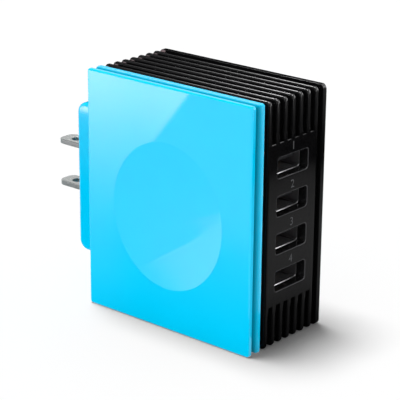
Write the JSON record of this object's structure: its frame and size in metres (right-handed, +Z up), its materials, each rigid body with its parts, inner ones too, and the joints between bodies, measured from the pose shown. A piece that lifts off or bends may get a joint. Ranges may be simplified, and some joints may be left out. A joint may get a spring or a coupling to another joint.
{
  "type": "multi-port usb charger",
  "caption": "Wall charger with a ribbed black housing, a blue face panel, a row of USB-A sockets in one side and a plug block with flat blades on the other.",
  "frame": {"origin": "at the base, under the middle of the housing's width, in the plane of the sockets and blades", "axes": "+Z up, the blue face towards -Y, the sockets towards +X, the plug blades towards -X"},
  "size_m": [0.0841, 0.0314, 0.0686],
  "materials": {
    "blue_gloss": "glossy sky blue moulding",
    "black_plastic": "satin black moulding",
    "nickel_blade": "nickel-plated brass",
    "tin_shell": "tin-plated steel sheet",
    "black_insulator": "black moulding",
    "gold_contact": "plated contact strip",
    "board_laminate": "green solder mask",
    "ferrite": "grey ferrite",
    "winding_tape": "yellow insulating tape",
    "copper_wire": "enamelled copper",
    "can_aluminium": "drawn can",
    "sink_aluminium": "plain sheet",
    "chip_moulding": "black epoxy",
    "disc_coating": "blue dipped coating",
    "barrier_sheet": "stiff insulating sheet"
  },
  "bodies": {
    "root": {"face_panel": "blue_gloss", "front_cover": "blue_gloss", "plug_block": "blue_gloss", "housing": "black_plastic", "rear_cover": "black_plastic", "blade_upper": "nickel_blade", "blade_lower": "nickel_blade", "usb_shell_1": "tin_shell", "usb_shell_2": "tin_shell", "usb_shell_3": "tin_shell", "usb_shell_4": "tin_shell", "usb_tongue_1": "black_insulator", "usb_tongue_2": "black_insulator", "usb_tongue_3": "black_insulator", "usb_tongue_4": "black_insulator", "transformer_bobbin": "black_insulator", "usb_contacts_1": "gold_contact", "usb_contacts_2": "gold_contact", "usb_contacts_3": "gold_contact", "usb_contacts_4": "gold_contact", "contact_clip_upper": "gold_contact", "contact_clip_lower": "gold_contact", "main_board": "board_laminate", "transformer_core": "ferrite", "choke_core": "ferrite", "transformer_winding": "winding_tape", "choke_winding": "copper_wire", "input_capacitor_1": "can_aluminium", "input_capacitor_2": "can_aluminium", "output_capacitor_1": "can_aluminium", "output_capacitor_2": "can_aluminium", "heat_sink": "sink_aluminium", "power_transistor": "chip_moulding", "bridge_rectifier": "chip_moulding", "output_rectifier": "chip_moulding", "optocoupler": "chip_moulding", "charge_controller": "chip_moulding", "fuse": "chip_moulding", "safety_capacitor": "disc_coating", "insulation_barrier": "barrier_sheet"}
  },
  "joints": []
}
